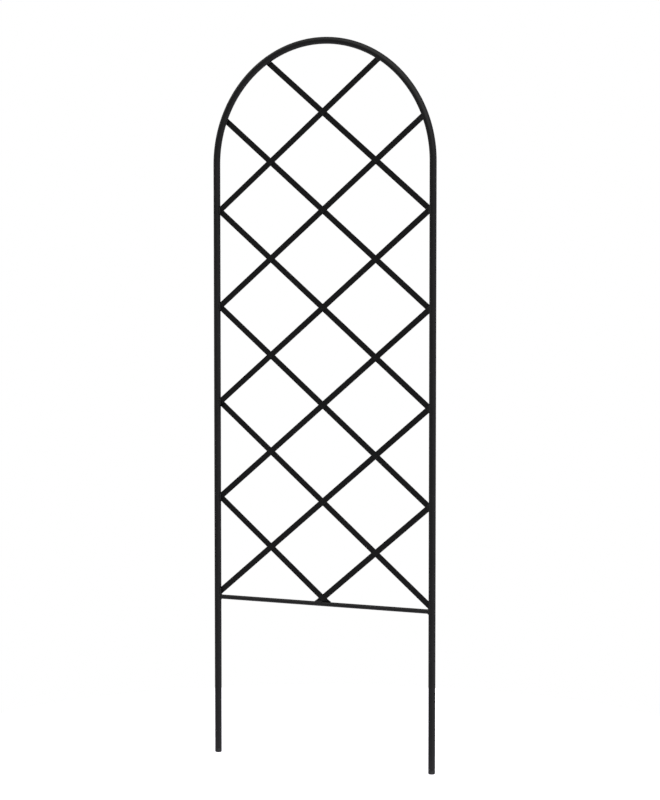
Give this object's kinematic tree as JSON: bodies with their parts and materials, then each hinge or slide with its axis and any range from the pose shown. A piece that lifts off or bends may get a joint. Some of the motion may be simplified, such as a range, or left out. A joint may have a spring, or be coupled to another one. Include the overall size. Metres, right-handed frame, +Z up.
{
  "type": "garden trellis panel",
  "caption": "Flat welded steel garden trellis panel with a round-arched top, diamond lattice of flat strips and two long legs that push into the ground",
  "frame": {"origin": "midway between the two leg tips, at their lowest point", "axes": "+Z up along the legs, +X across the panel, -Y the front face, whose strips rise to the right"},
  "size_m": [0.501, 0.014, 1.4665],
  "materials": {
    "powder_coated_steel": "satin black powder coat",
    "weld_bead": "rippled weld under satin black powder coat",
    "end_plug_plastic": "moulded black plastic, fine grain"
  },
  "bodies": {
    "root": {"hoop_tube": "powder_coated_steel", "cross_rail": "powder_coated_steel", "rising_strip_1": "powder_coated_steel", "rising_strip_2": "powder_coated_steel", "rising_strip_3": "powder_coated_steel", "rising_strip_4": "powder_coated_steel", "rising_strip_5": "powder_coated_steel", "rising_strip_6": "powder_coated_steel", "falling_strip_1": "powder_coated_steel", "falling_strip_2": "powder_coated_steel", "falling_strip_3": "powder_coated_steel", "falling_strip_4": "powder_coated_steel", "falling_strip_5": "powder_coated_steel", "falling_strip_6": "powder_coated_steel", "leg_plug_left": "end_plug_plastic", "leg_plug_right": "end_plug_plastic", "rail_welds": "weld_bead", "front_strip_welds": "weld_bead", "back_strip_welds": "weld_bead"}
  },
  "joints": []
}
